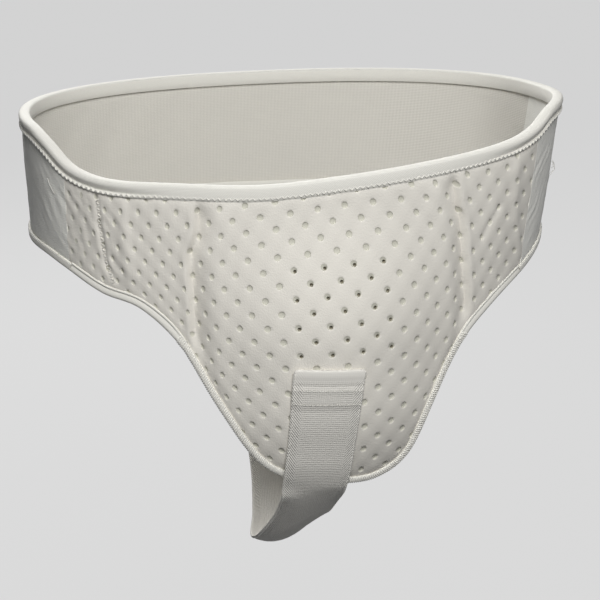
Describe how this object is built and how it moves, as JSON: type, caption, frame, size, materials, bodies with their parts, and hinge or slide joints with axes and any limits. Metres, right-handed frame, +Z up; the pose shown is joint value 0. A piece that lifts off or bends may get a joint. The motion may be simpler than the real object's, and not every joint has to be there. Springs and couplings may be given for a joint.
{
  "type": "hernia belt",
  "caption": "Worn hernia belt with a perforated foam front and pouch, bound edges, an elastic back and a strap that passes between the legs.",
  "frame": {"origin": "middle of the wearer's hips inside the belt, at the height of the hip band's middle", "axes": "+Z up, the front faces -Y, +X towards the wearer's left"},
  "size_m": [0.337, 0.2497, 0.2869],
  "materials": {
    "perforated_foam": "matt",
    "brushed_cloth": "matt",
    "back_elastic": "matt",
    "hook_cloth": "matt",
    "folded_elastic": "satin",
    "woven_elastic": "satin"
  },
  "bodies": {
    "root": {"front_panel": "perforated_foam", "side_panel_right": "brushed_cloth", "side_panel_left": "brushed_cloth", "back_band": "back_elastic", "fastening_tab": "hook_cloth", "top_binding": "folded_elastic", "lower_binding_front": "folded_elastic", "lower_binding_back": "folded_elastic", "crotch_strap": "woven_elastic"}
  },
  "joints": []
}
